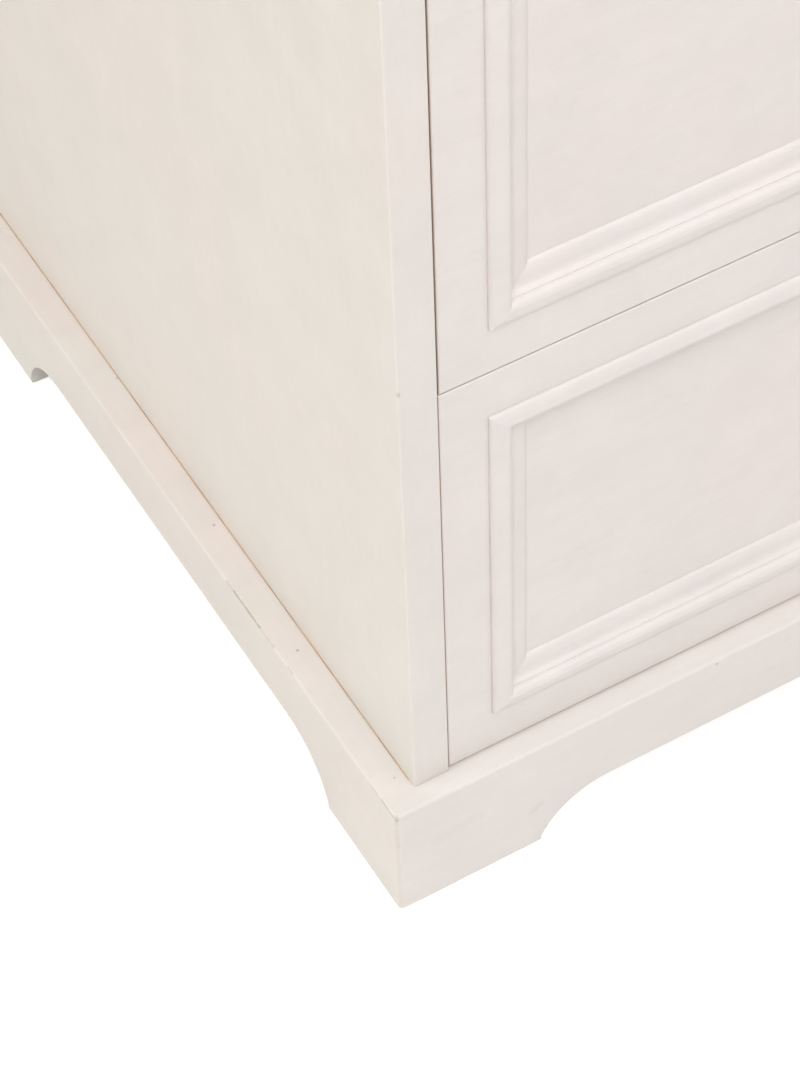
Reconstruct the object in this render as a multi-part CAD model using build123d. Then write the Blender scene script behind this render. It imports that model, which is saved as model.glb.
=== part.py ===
from build123d import *
from math import atan2, cos, degrees, radians, sin
import os

os.makedirs("parts", exist_ok=True)

# A painted two-door armoire with two full-width drawers below, on a mitred bracket-foot plinth.
# Millimetres, +Z up, X across the front and -Y to the front. The origin is on the floor, in the
# middle of the outline that the cap board makes on plan.

# ---- Driving sizes ----------------------------------------------------------------------------
# Carcass and plinth
overall_height = 1930.0
carcass_width = 1019.0
carcass_depth = 538.0
side_thickness = 22.0
side_edge_radius = 1.2
deck_thickness = 20.0
housing_depth = 6.0
divider_depth = 70.0
back_thickness = 6.0
back_rebate = 10.0
plinth_height = 90.0
plinth_board = 19.0
plinth_ledge_side = 19.5
plinth_ledge_front = 13.0
plinth_corner_radius = 3.0
plinth_edge_radius = 2.0
front_foot_width = 93.0
side_foot_width = 82.0
front_arch_height = 34.0
side_arch_height = 40.0
arch_spread = 45.0
foot_step = 5.0
glue_block_leg = 45.0

# Drawer and door fronts, set between the sides a little behind their front edges
front_recess = 1.5
front_thickness = 20.0
side_gap = 1.5
front_gap = 1.0
meeting_gap = 3.0
drawer_side_gaps = [0.9, 1.5]
front_edge_radius = 1.0
front_to_deck = 1.0
drawer_front_height = 301.5
drawer_stile_margin = 27.5
drawer_rail_margin = 30.5
door_margin = 52.0
panel_recess = 8.0
panel_thickness = 7.0
panel_groove = 9.0
panel_float = 1.0

# Panel moulding, a bolection that laps the frame and steps down to the panel
lap = 10.0
bead_width = 12.8
bead_rise = 8.9
bead_height = 3.8
bead_step = 0.8
quirk_level = -0.1
quirk_depth = 0.4
quirk_width = 0.4
cove_width = 4.3
cove_level = -4.2
nose_width = 8.9

# Top
frieze_height = 75.0
cap_thickness = 22.0
cap_overhang = 45.0
cap_top_radius = 8.0
cap_under_radius = 4.0
cornice_height = 60.0
cornice_projection = 38.0

# Drawer boxes
drawer_side = 12.0
drawer_end = 14.0
box_headroom = 42.5
box_rear_space = 57.5
box_lift = 30.0
box_bottom_thickness = 6.0
box_bottom_lift = 10.0
box_groove = 6.0
box_float = 0.5
tail_count = 5
tail_flare = 3.0

# Telescopic slides
slide_width = 12.7
slide_height = 45.0
slide_sheet = 1.3
slide_ball_gap = 1.4
slide_flange_gap = 1.7
slide_lip = 2.2
slide_lift = 85.0
slide_setback = 2.0

# Butt hinges
leaf_thickness = 1.6
leaf_height = 75.0
leaf_reach = 17.0
leaf_gap = 0.4
barrel_radius = 4.2
barrel_offset = 0.4
barrel_clearance = 0.4
hinge_pin_radius = 2.2
knuckle_gap = 0.3
knuckle_clearance = 0.05
hinge_inset = 130.0

# Interior fittings
rail_radius = 12.5
rail_wall = 1.5
rail_height = 1570.0
rail_socket_radius = 22.0
rail_socket_depth = 15.0
shelf_thickness = 18.0
shelf_height = 1626.0
shelf_side_clearance = 1.0
shelf_setback = 40.0
shelf_pin_radius = 2.5
shelf_pin_length = 17.0
pin_hole_depth = 9.0
pin_hole_pitch = 32.0
pin_hole_rows = 5

# Knobs and screws
knob_spread = 0.45
knob_radius = 16.0
knob_projection = 30.0
knob_base_radius = 9.0
knob_edge_inset = 27.0
knob_height_on_door = 470.0
knob_screw_radius = 2.0
knob_screw_depth = 10.0
pan_head_radius = 4.5
pan_head_height = 2.5
wood_screw_radius = 1.8
wood_screw_head = 3.4
wood_screw_length = 15.0

# ---- Places that follow from the sizes ----------------------------------------------------------
y_back = (carcass_depth + cap_overhang) / 2
y_carcass = y_back - carcass_depth
y_plinth = y_carcass - plinth_ledge_front
y_face = y_carcass + front_recess
y_face_back = y_face + front_thickness
y_deck = y_face_back + front_to_deck
y_back_panel = y_back - back_thickness
x_outer = carcass_width / 2
x_inner = x_outer - side_thickness
x_plinth = x_outer + plinth_ledge_side
x_front = x_inner - side_gap
x_box = x_inner - slide_width
box_height = drawer_front_height - box_lift - box_headroom
box_length = y_back_panel - y_face_back - box_rear_space

z_carcass_top = overall_height - cap_thickness
z_frieze = z_carcass_top - frieze_height
z_drawer = [plinth_height + front_gap]
z_drawer.append(z_drawer[0] + drawer_front_height + front_gap)
z_door = z_drawer[1] + drawer_front_height + front_gap
z_door_top = z_frieze - front_gap
z_middle_deck = z_door - front_gap / 2 - deck_thickness / 2
z_top_panel = z_frieze - front_gap / 2 - deck_thickness / 2
z_divider = z_drawer[1] - front_gap / 2 - deck_thickness / 2
y_shelf = y_deck + shelf_setback
y_rail = (y_deck + y_back_panel) / 2
moulding_width = bead_width + quirk_width + cove_width + nose_width

parts = {}


# ---- Small makers used all through --------------------------------------------------------------
def block(x0, x1, y0, y1, z0, z1):
    """A box between two corners."""
    centre = ((x0 + x1) / 2, (y0 + y1) / 2, (z0 + z1) / 2)
    return Pos(*centre) * Box(abs(x1 - x0), abs(y1 - y0), abs(z1 - z0))


def rod(radius, start, axis, length):
    """A round bar from a point along an axis."""
    return extrude(Plane(origin=start, z_dir=axis) * Circle(radius), amount=length)


def plan_prism(points, z0, z1):
    """A prism standing on a plan outline."""
    outline = make_face(Polyline(*points, close=True))
    return extrude(Pos(0, 0, z0) * outline, amount=z1 - z0)


def group(shapes):
    """Several separate solids as one sub-part."""
    return Compound(children=[solid for shape in shapes for solid in shape.solids()])


def mirrored(shape):
    """The same piece on the other side of the middle."""
    return mirror(shape, about=Plane.YZ)


def wood_screw(place, axis, head_height):
    """A countersunk screw, its head flush at place and its point along axis."""
    head = Plane(origin=place, z_dir=axis) * Pos(0, 0, head_height / 2)
    cone = head * Cone(wood_screw_head, wood_screw_radius, head_height)
    return cone + rod(wood_screw_radius, place, axis, wood_screw_length)


def pan_screw(x, y_head, y_tip, z):
    """A machine screw along Y, its head standing behind y_head and its tip at y_tip."""
    shank = rod(knob_screw_radius, (x, y_head, z), (0, -1, 0), y_head - y_tip)
    return shank + rod(pan_head_radius, (x, y_head, z), (0, 1, 0), pan_head_height)


# ---- Plinth: mitred boards with bracket feet, a back board, cleats and glued blocks --------------
def arch(start, end, height):
    """Cut between two feet: a short upright step, an arc at each foot, straight between them."""
    rise = height - foot_step
    radius = (arch_spread ** 2 + rise ** 2) / (2 * rise)
    half_turn = radians((90 + degrees(atan2(radius - rise, arch_spread))) / 2)
    out = radius * cos(half_turn)
    up = height - radius + radius * sin(half_turn)
    left = (start + arch_spread - out, up)
    right = (end - arch_spread + out, up)
    outline = [
        Line((start, -foot_step), (start, foot_step)),
        ThreePointArc((start, foot_step), left, (start + arch_spread, height)),
        Line((start + arch_spread, height), (end - arch_spread, height)),
        ThreePointArc((end - arch_spread, height), right, (end, foot_step)),
        Line((end, foot_step), (end, -foot_step)),
        Line((end, -foot_step), (start, -foot_step)),
    ]
    return make_face(outline)


def make_plinth():
    ring = block(-x_plinth, x_plinth, y_plinth, y_back, 0, plinth_height)
    ring = fillet(ring.edges().filter_by(Axis.Z).group_by(Axis.Y)[0], plinth_corner_radius)
    for level in (0, -1):
        rim = ring.faces().sort_by(Axis.Z)[level].edges()
        ring = fillet([edge for edge in rim if edge.center().Y < y_back - 1], plinth_edge_radius)
    hollow_x = x_plinth - plinth_board
    hollow_y = y_plinth + plinth_board
    ring -= block(-hollow_x, hollow_x, hollow_y, y_back, 0, plinth_height)
    front_arch = arch(front_foot_width - x_plinth, x_plinth - front_foot_width, front_arch_height)
    front_cut = extrude(Plane.XZ * front_arch, amount=carcass_width, both=True)
    side_arch = arch(y_plinth + side_foot_width, y_back - side_foot_width, side_arch_height)
    side_cut = extrude(Plane.YZ * side_arch, amount=carcass_width, both=True)
    out = plinth_board
    front_zone = [(-x_plinth, y_plinth), (x_plinth, y_plinth), (hollow_x, hollow_y),
                  (-hollow_x, hollow_y)]
    side_zone = [(-x_plinth - out, y_plinth - out), (-hollow_x, hollow_y), (-hollow_x, y_back),
                 (-x_plinth - out, y_back)]
    parts["plinth_front"] = (ring & plan_prism(front_zone, 0, plinth_height)) - front_cut
    parts["plinth_left"] = (ring & plan_prism(side_zone, 0, plinth_height)) - side_cut
    parts["plinth_right"] = mirrored(parts["plinth_left"])
    rear = y_back - plinth_board
    parts["plinth_back"] = block(-hollow_x, hollow_x, rear, y_back, side_arch_height, plinth_height)
    leg = glue_block_leg
    cleat_z = plinth_height - deck_thickness
    front_block = [(-hollow_x, hollow_y), (-hollow_x + leg, hollow_y), (-hollow_x, hollow_y + leg)]
    rear_block = [(-hollow_x, rear), (-hollow_x, rear - leg), (-hollow_x + leg, rear)]
    corner_blocks = [plan_prism(front_block, 0, cleat_z), plan_prism(rear_block, 0, cleat_z)]
    cleat_x = -hollow_x + side_thickness
    side_cleat = block(-hollow_x, cleat_x, hollow_y, rear, cleat_z, plinth_height)
    front_cleat = block(cleat_x, -cleat_x, hollow_y, y_deck + deck_thickness, cleat_z,
                        plinth_height)
    blocks = corner_blocks + [side_cleat]
    parts["plinth_blocks"] = group(blocks + [mirrored(piece) for piece in blocks] + [front_cleat])


# ---- Hinges: three butt hinges to a door, made for the left door and mirrored for the right ------
def hinge_heights():
    low = z_door + hinge_inset
    high = z_door_top - hinge_inset - leaf_height
    return (low, (low + high) / 2, high)


hinge_x = -x_inner + side_gap / 2
hinge_y = y_carcass - barrel_radius - barrel_offset


def leaf_box(side, z0):
    """The flat of one leaf; side is -1 for the carcass leaf and 1 for the door leaf."""
    near = hinge_x + side * leaf_gap / 2
    far = near + side * leaf_thickness
    return block(near, far, hinge_y, y_carcass + leaf_reach, z0, z0 + leaf_height)


def leaf_screws(side, z0):
    """Three screws through one leaf, staggered, heads flush in the leaf's open face."""
    x = hinge_x + side * leaf_gap / 2
    places = ((6.0, 0.16), (12.0, 0.5), (6.0, 0.84))
    return [wood_screw((x, y_carcass + back, z0 + leaf_height * up), (side, 0, 0), leaf_thickness)
            for back, up in places]


def make_leaf(side, z0):
    """One leaf with its knuckles: the outer and middle three on the carcass, two on the door."""
    pitch = (leaf_height + knuckle_gap) / 5
    own = (0, 2, 4) if side < 0 else (1, 3)
    bore = hinge_pin_radius if side < 0 else hinge_pin_radius + knuckle_clearance
    relief = barrel_radius + barrel_clearance
    leaf = leaf_box(side, z0)
    leaf -= block(hinge_x - relief, hinge_x + relief, hinge_y - relief, hinge_y + relief,
                  z0 - 1, z0 + leaf_height + 1)
    for index in own:
        low = z0 + index * pitch
        high = low + pitch - knuckle_gap
        near = hinge_x + side * leaf_gap / 2
        leaf += block(near, near + side * leaf_thickness, hinge_y, hinge_y + relief, low, high)
        leaf += rod(barrel_radius, (hinge_x, hinge_y, low), (0, 0, 1), high - low)
    leaf -= rod(bore, (hinge_x, hinge_y, z0 - 1), (0, 0, 1), leaf_height + 2)
    for screw in leaf_screws(side, z0):
        leaf -= screw
    return leaf


def make_hinge_pin(z0):
    """A pin with a small turned tip at each end."""
    pin = rod(hinge_pin_radius, (hinge_x, hinge_y, z0), (0, 0, 1), leaf_height)
    for z, way in ((z0, -1), (z0 + leaf_height, 1)):
        pin += rod(barrel_radius, (hinge_x, hinge_y, z), (0, 0, way), 1.5)
        pin += Pos(hinge_x, hinge_y, z + way * 4.0) * Sphere(3.2)
    return pin


# ---- Carcass ------------------------------------------------------------------------------------
def shelf_pin_columns():
    return (y_shelf + 40.0, y_back_panel - 60.0)


def make_side():
    side = block(-x_outer, -x_inner, y_carcass, y_back, plinth_height, z_carcass_top)
    side = fillet(side.edges().filter_by(Axis.Z).group_by(Axis.Y)[0], side_edge_radius)
    housed = -x_inner - housing_depth
    for z in (plinth_height, z_middle_deck, z_top_panel):
        side -= block(housed, -x_inner, y_deck, y_back_panel, z, z + deck_thickness)
    side -= block(housed, -x_inner, y_deck, y_deck + divider_depth, z_divider,
                  z_divider + deck_thickness)
    side -= block(-x_inner - back_rebate, -x_inner, y_back_panel, y_back, plinth_height,
                  z_carcass_top)
    lowest = shelf_height - shelf_pin_radius - pin_hole_pitch * (pin_hole_rows - 1) / 2
    for y in shelf_pin_columns():
        for row in range(pin_hole_rows):
            place = (-x_inner, y, lowest + pin_hole_pitch * row)
            side -= rod(shelf_pin_radius, place, (-1, 0, 0), pin_hole_depth)
    for z0 in hinge_heights():
        side -= leaf_box(-1, z0)
        for screw in leaf_screws(-1, z0):
            side -= screw
    return side


def make_carcass():
    parts["side_left"] = make_side()
    parts["side_right"] = mirrored(parts["side_left"])
    housed = x_inner + housing_depth
    for name, z in (("bottom_deck", plinth_height), ("middle_deck", z_middle_deck),
                    ("top_panel", z_top_panel)):
        parts[name] = block(-housed, housed, y_deck, y_back_panel, z, z + deck_thickness)
    parts["drawer_divider_rail"] = block(-housed, housed, y_deck, y_deck + divider_depth,
                                         z_divider, z_divider + deck_thickness)
    parts["frieze_rail"] = block(-x_inner, x_inner, y_carcass, y_deck, z_frieze, z_carcass_top)
    panel_x = x_inner + back_rebate - panel_float
    parts["back_panel"] = block(-panel_x, panel_x, y_back_panel, y_back,
                                plinth_height + panel_float, z_carcass_top - panel_float)
    leaves = [make_leaf(-1, z0) for z0 in hinge_heights()]
    parts["hinge_leaves_carcass"] = group(leaves + [mirrored(leaf) for leaf in leaves])
    screws = [screw for z0 in hinge_heights() for screw in leaf_screws(-1, z0)]
    parts["hinge_screws_carcass"] = group(screws + [mirrored(screw) for screw in screws])
    pins = [make_hinge_pin(z0) for z0 in hinge_heights()]
    parts["hinge_pins"] = group(pins + [mirrored(pin) for pin in pins])


# ---- Cornice and cap board ------------------------------------------------------------------------
def cornice_section():
    """Crown section, first out from the carcass and then up: bead, cove, fillet and ovolo."""
    bead, step, ovolo, foot = 6.0, 4.0, 14.0, 8.0
    low = bead + step
    high = cornice_height - ovolo - step
    out = cornice_projection - ovolo
    inset = foot - bead / 2
    cove_point = (inset + (out - inset) * 0.24, low + (high - low) * 0.62)
    ovolo_point = (out + ovolo * 0.71, high + step + ovolo * 0.29)
    outline = [
        Line((0, 0), (inset, 0)),
        ThreePointArc((inset, 0), (foot, bead / 2), (inset, bead)),
        Line((inset, bead), (inset, low)),
        ThreePointArc((inset, low), cove_point, (out, high)),
        Line((out, high), (out, high + step)),
        ThreePointArc((out, high + step), ovolo_point, (cornice_projection, cornice_height)),
        Line((cornice_projection, cornice_height), (0, cornice_height)),
        Line((0, cornice_height), (0, 0)),
    ]
    return make_face(outline)


def make_top():
    low = z_carcass_top - cornice_height
    far = x_outer + cornice_projection
    front = y_carcass - cornice_projection
    across = Plane(origin=(far, y_carcass, low), x_dir=(0, -1, 0), z_dir=(-1, 0, 0))
    strip = extrude(across * cornice_section(), amount=2 * far)
    plan = [(-x_outer, y_carcass), (x_outer, y_carcass), (far, front), (-far, front)]
    parts["cornice_front"] = strip & plan_prism(plan, low, z_carcass_top)
    along = Plane(origin=(-x_outer, y_back, low), x_dir=(-1, 0, 0), z_dir=(0, 1, 0))
    strip = extrude(along * cornice_section(), amount=-(y_back - front))
    plan = [(-x_outer, y_carcass), (-far, front), (-far, y_back), (-x_outer, y_back)]
    parts["cornice_left"] = strip & plan_prism(plan, low, z_carcass_top)
    parts["cornice_right"] = mirrored(parts["cornice_left"])
    edge = x_outer + cap_overhang
    cap = block(-edge, edge, y_carcass - cap_overhang, y_back, z_carcass_top, overall_height)
    cap = fillet(cap.edges().filter_by(Axis.Z).group_by(Axis.Y)[0], cap_top_radius + 1)
    for level, radius in ((-1, cap_top_radius), (0, cap_under_radius)):
        rim = cap.faces().sort_by(Axis.Z)[level].edges()
        cap = fillet([line for line in rim if line.center().Y < y_back - 1], radius)
    parts["cap_board"] = cap


# ---- Framed and moulded fronts, for both drawers and both doors ------------------------------------
def quarter(corner, width, height, start):
    """A quarter of an ellipse about corner, anticlockwise from the start angle."""
    return EllipticalCenterArc(corner, width, height, start_angle=start, arc_size=90)


def moulding_section():
    """Bead, cove and nose, first inwards from the outer edge and then out from the frame."""
    crown = bead_rise
    quirk_floor = quirk_level - quirk_depth
    cove = bead_width + quirk_width
    hollow = cove + cove_width
    inner = hollow + nose_width
    outline = [
        Line((0, 0), (0, bead_step)),
        quarter((crown, bead_step), bead_rise, bead_height - bead_step, 90),
        quarter((crown, quirk_level), bead_width - bead_rise, bead_height - quirk_level, 0),
        Line((bead_width, quirk_level), (bead_width, quirk_floor)),
        Line((bead_width, quirk_floor), (cove, quirk_floor)),
        quarter((hollow, quirk_floor), cove_width, quirk_floor - cove_level, 180),
        quarter((hollow, -panel_recess), nose_width, cove_level + panel_recess, 0),
        Line((inner, -panel_recess), (lap, -panel_recess)),
        Line((lap, -panel_recess), (lap, 0)),
        Line((lap, 0), (0, 0)),
    ]
    return make_face(outline)


def make_moulding(x0, x1, z0, z1):
    """Four strips mitred round a panel, from their outer corners."""
    section = moulding_section()
    width = moulding_width
    outer = [(x0, z0), (x1, z0), (x1, z1), (x0, z1)]
    inner = [(x0 + width, z0 + width), (x1 - width, z0 + width), (x1 - width, z1 - width),
             (x0 + width, z1 - width)]
    inwards = [(0, 0, 1), (-1, 0, 0), (0, 0, -1), (1, 0, 0)]
    strips = []
    for side in range(4):
        start, end = outer[side], outer[(side + 1) % 4]
        along = Vector(end[0] - start[0], 0, end[1] - start[1])
        inward = Vector(*inwards[side])
        plane = Plane(origin=(start[0], y_face, start[1]), x_dir=inward,
                      z_dir=inward.cross(Vector(0, -1, 0)))
        strip = extrude(plane * section, amount=along.length * along.normalized().dot(plane.z_dir))
        corners = [start, end, inner[(side + 1) % 4], inner[side]]
        outline = make_face(Polyline(*[(x, -0.0, z) for x, z in corners], close=True))
        prism = extrude(outline, amount=carcass_depth, dir=(0, 1, 0), both=True)
        strips.append(strip & prism)
    return group(strips)


def make_front(x0, x1, z0, z1, stile_margin, rail_margin):
    """Two stiles and two rails with stub tenons round a grooved-in panel, and its moulding."""
    stile_width = stile_margin + lap
    rail_width = rail_margin + lap
    stile_tongue = stile_width - panel_groove
    rail_tongue = rail_width - panel_groove
    g0 = y_face + panel_recess
    g1 = g0 + panel_thickness
    slab = block(x0, x1, y_face, y_face_back, z0, z1)
    slab = fillet(slab.faces().sort_by(Axis.Y)[0].edges(), front_edge_radius)
    frame = []
    for edge, way in ((x0, 1), (x1, -1)):
        stile = slab & block(edge, edge + way * stile_width, y_face, y_face_back, z0, z1)
        stile -= block(edge + way * stile_tongue, edge + way * stile_width, g0, g1, z0, z1)
        frame.append(stile)
    for edge, way in ((z0, 1), (z1, -1)):
        far = edge + way * rail_width
        rail = slab & block(x0 + stile_width, x1 - stile_width, y_face, y_face_back, edge, far)
        rail += block(x0 + stile_tongue, x1 - stile_tongue, g0, g1, edge, far)
        rail -= block(x0 + stile_tongue, x1 - stile_tongue, g0, g1, edge + way * rail_tongue, far)
        frame.append(rail)
    inset_x = stile_tongue + panel_float
    inset_z = rail_tongue + panel_float
    panel = block(x0 + inset_x, x1 - inset_x, g0, g1, z0 + inset_z, z1 - inset_z)
    moulding = make_moulding(x0 + stile_margin, x1 - stile_margin, z0 + rail_margin,
                             z1 - rail_margin)
    return group(frame), panel, moulding


def make_knob(x, y, z):
    """A turned knob standing forward of y, with a blind hole for its screw."""
    neck = 6.5
    rim = knob_radius
    tip = knob_projection
    crown = rim - 6
    shoulder = tip - 2.4
    dome = (crown ** 2 + (tip - shoulder) ** 2) / (2 * (tip - shoulder))
    dome_mid = (crown / 2, tip - dome + (dome ** 2 - (crown / 2) ** 2) ** 0.5)
    outline = [
        Line((0, 0), (knob_base_radius, 0)),
        Line((knob_base_radius, 0), (knob_base_radius, 2.5)),
        ThreePointArc((knob_base_radius, 2.5), (neck, 7), (neck + 1, 13)),
        ThreePointArc((neck + 1, 13), (neck + 5, 16.5), (rim, 20)),
        ThreePointArc((rim, 20), (rim - 1.5, 24.5), (crown, shoulder)),
        ThreePointArc((crown, shoulder), dome_mid, (0, tip)),
        Line((0, tip), (0, 0)),
    ]
    knob = revolve(make_face(outline), axis=Axis.Y)
    knob -= rod(knob_screw_radius, (0, 0, 0), (0, 1, 0), knob_screw_depth)
    return Pos(x, y, z) * Rot(180, 0, 0) * knob


# ---- Drawers: front, dovetailed box and slides -----------------------------------------------------
def tails(z0, y_edge, way, depth):
    """Tails on the end of a left box side, wider at the tip; way is +Y or -Y towards the tip."""
    pitch = box_height / tail_count
    shapes = []
    for index in range(tail_count):
        middle = z0 + pitch * (index + 0.5)
        half = pitch * 0.3
        y_tip = y_edge + way * depth
        corners = [(y_edge, middle - half), (y_edge, middle + half),
                   (y_tip, middle + half + tail_flare), (y_tip, middle - half - tail_flare)]
        face = make_face(Polyline(*[(-x_box, y, z) for y, z in corners], close=True))
        shapes.append(extrude(face, amount=drawer_side, dir=(1, 0, 0)))
    return shapes


def slide_member(web, lip, half_height, y0, y1, z):
    """A folded channel on the left of the box: web and lip are its distances from the side."""
    base = -x_inner
    inner = web + slide_sheet if lip > web else web - slide_sheet
    member = block(base + web, base + inner, y0, y1, z - half_height, z + half_height)
    for way in (1, -1):
        edge = z + way * half_height
        member += block(base + web, base + lip, y0, y1, edge, edge - way * slide_sheet)
    return member


def make_slide(z):
    """Outer, middle and inner members, each nested in the last with room for its balls."""
    y0 = y_face_back + slide_setback
    y1 = y0 + box_length
    step = slide_sheet + slide_ball_gap
    half = slide_height / 2
    middle_web = slide_sheet + slide_flange_gap
    outer = slide_member(0, slide_width - slide_lip - 1.0, half, y0, y1, z)
    middle = slide_member(middle_web, slide_width - slide_lip, half - step, y0, y1, z)
    inner = slide_member(slide_width, middle_web + slide_sheet + slide_flange_gap,
                         half - 2 * step, y0, y1, z)
    return [group([member, mirrored(member)]) for member in (outer, middle, inner)]


def make_drawer(name, z_front, x_edge):
    frame, panel, moulding = make_front(-x_edge, x_edge, z_front,
                                        z_front + drawer_front_height, drawer_stile_margin,
                                        drawer_rail_margin)
    z0 = z_front + box_lift
    z1 = z0 + box_height
    y0 = y_face_back
    y1 = y0 + box_length
    y0_in = y0 + drawer_end
    y1_in = y1 - drawer_end
    x_in = x_box - drawer_side
    z_bottom = z0 + box_bottom_lift
    front_tails = tails(z0, y0_in, -1, drawer_end)
    rear_tails = tails(z0, y1_in, 1, drawer_end)
    side = block(-x_box, -x_in, y0_in, y1_in, z0, z1)
    for tail in front_tails + rear_tails:
        side += tail
    end = block(-x_box, x_box, y0, y0_in, z0, z1)
    rear = block(-x_box, x_box, y1_in, y1, z0, z1)
    for tail in front_tails:
        end = end - tail - mirrored(tail)
    for tail in rear_tails:
        rear = rear - tail - mirrored(tail)
    reach = box_groove - box_float
    groove = block(-x_in - box_groove, x_in + box_groove, y0_in - box_groove, y1_in + box_groove,
                   z_bottom, z_bottom + box_bottom_thickness)
    bottom = block(-x_in - reach, x_in + reach, y0_in - reach, y1_in + reach, z_bottom,
                   z_bottom + box_bottom_thickness)
    z_knob = z_front + drawer_front_height / 2
    y_panel = y_face + panel_recess
    knobs = []
    screws = []
    for x in (-x_edge * knob_spread, x_edge * knob_spread):
        knobs.append(make_knob(x, y_panel, z_knob))
        screw = pan_screw(x, y0_in, y_panel - knob_screw_depth, z_knob)
        end -= screw
        panel -= screw
        screws.append(screw)
    outer, middle, inner = make_slide(z0 + slide_lift)
    sides = [side - groove, mirrored(side - groove)]
    found = {"frame": frame, "panel": panel, "moulding": moulding, "box_front": end - groove,
             "box_sides": group(sides), "box_back": rear - groove, "box_bottom": bottom,
             "knobs": group(knobs), "knob_screws": group(screws), "slide_inner": inner}
    for piece, shape in found.items():
        parts[name + "_" + piece] = shape
    parts[name + "_slide_middle"] = middle
    return outer


# ---- Doors: made for the left and mirrored for the right --------------------------------------------
def make_doors():
    frame, panel, moulding = make_front(-x_front, -meeting_gap / 2, z_door, z_door_top,
                                        door_margin, door_margin)
    leaves = []
    screws = []
    for z0 in hinge_heights():
        frame = frame - leaf_box(1, z0)
        leaves.append(make_leaf(1, z0))
        for screw in leaf_screws(1, z0):
            frame = frame - screw
            screws.append(screw)
    x_knob = -meeting_gap / 2 - knob_edge_inset
    z_knob = z_door + knob_height_on_door
    knob_bolt = pan_screw(x_knob, y_face_back, y_face - knob_screw_depth, z_knob)
    frame = frame - knob_bolt
    screws.append(knob_bolt)
    knob = make_knob(x_knob, y_face, z_knob)
    found = {"frame": group([frame]), "panel": panel, "moulding": moulding, "knob": knob,
             "hinge_leaves": group(leaves), "screws": group(screws)}
    for piece, shape in found.items():
        parts["door_left_" + piece] = shape
        parts["door_right_" + piece] = mirrored(shape)


# ---- Shelf and hanging rail --------------------------------------------------------------------------
def make_interior():
    edge = x_inner - shelf_side_clearance
    parts["shelf"] = block(-edge, edge, y_shelf, y_back_panel - shelf_side_clearance,
                           shelf_height, shelf_height + shelf_thickness)
    pins = [rod(shelf_pin_radius, (-x_inner - pin_hole_depth, y, shelf_height - shelf_pin_radius),
                (1, 0, 0), shelf_pin_length) for y in shelf_pin_columns()]
    parts["shelf_pins"] = group(pins + [mirrored(pin) for pin in pins])
    start = (-x_inner, y_rail, rail_height)
    plate = rod(rail_socket_radius, start, (1, 0, 0), 3.0)
    cup = rod(rail_radius + 2.5, start, (1, 0, 0), rail_socket_depth)
    rail_start = (-x_inner + 3.0, y_rail, rail_height)
    rail_length = 2 * (x_inner - 3.0)
    tube = rod(rail_radius, rail_start, (1, 0, 0), rail_length)
    socket = plate + cup - tube
    parts["rail_sockets"] = group([socket, mirrored(socket)])
    bore = rod(rail_radius - rail_wall, rail_start, (1, 0, 0), rail_length)
    parts["hanging_rail"] = tube - bore


make_plinth()
make_carcass()
make_top()
drawer_edges = [x_inner - gap for gap in drawer_side_gaps]
drawer_plan = zip(("drawer_lower", "drawer_upper"), z_drawer, drawer_edges)
slides = [make_drawer(name, z_front, x_edge) for name, z_front, x_edge in drawer_plan]
parts["slide_outer_channels"] = group(slides)
make_doors()
make_interior()

for node, shape in parts.items():
    export_step(shape, f"parts/{node}.step")
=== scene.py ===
import bpy
from mathutils import Matrix, Vector

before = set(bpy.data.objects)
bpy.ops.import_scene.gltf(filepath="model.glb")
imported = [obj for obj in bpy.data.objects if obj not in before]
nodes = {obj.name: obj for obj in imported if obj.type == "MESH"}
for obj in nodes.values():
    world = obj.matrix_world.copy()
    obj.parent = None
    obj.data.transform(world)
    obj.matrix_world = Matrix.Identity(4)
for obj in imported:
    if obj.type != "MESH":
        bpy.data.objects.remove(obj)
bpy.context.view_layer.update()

# ---- Plinth boards -------------------------------------------------------------------------------
# Softwood boards mitred at the front corners, cut to bracket feet and painted in place with a
# brush. The satin off-white paint is thin on the arrises, where the feet and the ledge are kicked.
ALONG_X = (5.0, 70.0, 70.0)
ALONG_Y = (70.0, 5.0, 70.0)
ALONG_Z = (70.0, 70.0, 5.0)
PAINT = (0.780, 0.730, 0.700)
PAINT_WARM = (0.795, 0.715, 0.675)
PAINT_COOL = (0.750, 0.732, 0.685)
TONES = (PAINT, PAINT_WARM, PAINT_COOL)
UNDERCOAT = (0.50, 0.40, 0.30)
GRIME_AND_SHADE = (0.36, 0.27, 0.20)
DEEP_GAP_SHADE = (0.54, 0.32, 0.16)
WEAR_SHOWN = 0.55
WEAR_ROUGHER = 0.2
BRUSH_RELIEF = 0.35
BRUSH_DEPTH = 0.0004
EVEN = (1.0, 1.0, 1.0)
BARE_BROWN = (0.30, 0.19, 0.11)
YELLOWED = (0.60, 0.52, 0.36)


def add(tree, kind, place, **values):
    """A node of that kind at a place in the tree, with its inputs and settings set by name."""
    node = tree.nodes.new(kind)
    node.location = place
    for name, value in values.items():
        socket = node.inputs.get(name.replace("_", " "))
        if socket is not None:
            socket.default_value = value
        else:
            setattr(node, name, value)
    return node


def mapped_noise(tree, coords, scale_vector, place, **values):
    """Noise stretched by a scale vector, so that it lies along the grain of a piece."""
    mapping = add(tree, "ShaderNodeVectorMath", (place[0] - 200, place[1]), operation="MULTIPLY")
    tree.links.new(coords, mapping.inputs[0])
    if isinstance(scale_vector, bpy.types.NodeSocket):
        tree.links.new(scale_vector, mapping.inputs[1])
    else:
        mapping.inputs[1].default_value = scale_vector
    noise = add(tree, "ShaderNodeTexNoise", place, **values)
    tree.links.new(mapping.outputs[0], noise.inputs["Vector"])
    return noise.outputs["Fac"]


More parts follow.
